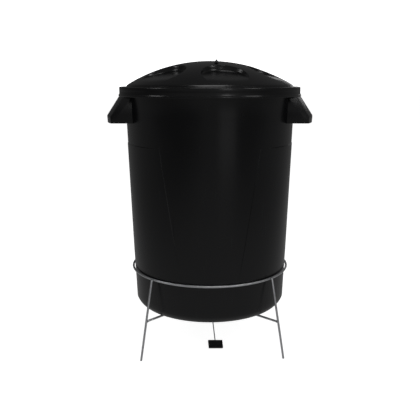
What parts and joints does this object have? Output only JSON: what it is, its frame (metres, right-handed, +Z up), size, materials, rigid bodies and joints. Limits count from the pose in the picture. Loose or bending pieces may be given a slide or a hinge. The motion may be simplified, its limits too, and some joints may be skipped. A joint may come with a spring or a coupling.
{
  "type": "gravity game feeder",
  "caption": "Black plastic lidded bin with side hand grips in a splayed wire stand, with a turning floor outlet and a hinged pecking rod and paddle.",
  "frame": {"origin": "on the ground, under the centre of the bin", "axes": "+Z up, the front with the pecking paddle faces -Y, the hand grips are at -X and +X"},
  "size_m": [0.5766, 0.5106, 0.8081],
  "materials": {
    "black_plastic": "moulded black polyethylene with a soft satin shine",
    "outlet_plastic": "moulded black plastic",
    "rubber": "dull black sealing rubber",
    "galvanised_wire": "zinc-coated drawn wire",
    "steel_pin": "plain bright steel"
  },
  "bodies": {
    "stand": {"stand_hoop": "galvanised_wire", "stand_leg_front_left": "galvanised_wire", "stand_leg_front_right": "galvanised_wire", "stand_leg_rear_left": "galvanised_wire", "stand_leg_rear_right": "galvanised_wire", "stand_cross_rod_upper": "galvanised_wire", "stand_cross_rod_lower": "galvanised_wire"},
    "bin": {"bin_body": "black_plastic", "outlet_bush": "outlet_plastic", "outlet_washer": "rubber", "outlet_nut": "outlet_plastic"},
    "lid": {"bin_lid": "black_plastic", "lid_peg": "black_plastic"},
    "outlet_swivel": {"swivel_disc": "outlet_plastic", "pivot_pin": "steel_pin", "pin_clip_left": "steel_pin", "pin_clip_right": "steel_pin"},
    "pecker": {"peck_rod": "galvanised_wire", "peck_paddle": "black_plastic"}
  },
  "joints": [
    {"name": "bin_lift", "type": "slide", "parent": "stand", "child": "bin", "axis": [0, 0, 1], "range_m": [0, 0.25]},
    {"name": "lid_lift", "type": "slide", "parent": "bin", "child": "lid", "axis": [0, 0, 1], "range_m": [0, 0.15]},
    {"name": "outlet_turn", "type": "hinge", "parent": "bin", "child": "outlet_swivel", "pos_m": [0, 0, 0.1223], "axis": [0, 0, 1], "range_deg": [-28, 22]},
    {"name": "peck", "type": "hinge", "parent": "outlet_swivel", "child": "pecker", "pos_m": [0, 0, 0.1223], "axis": [-0.9895, -0.1444, 0], "range_deg": [0, 16]}
  ]
}
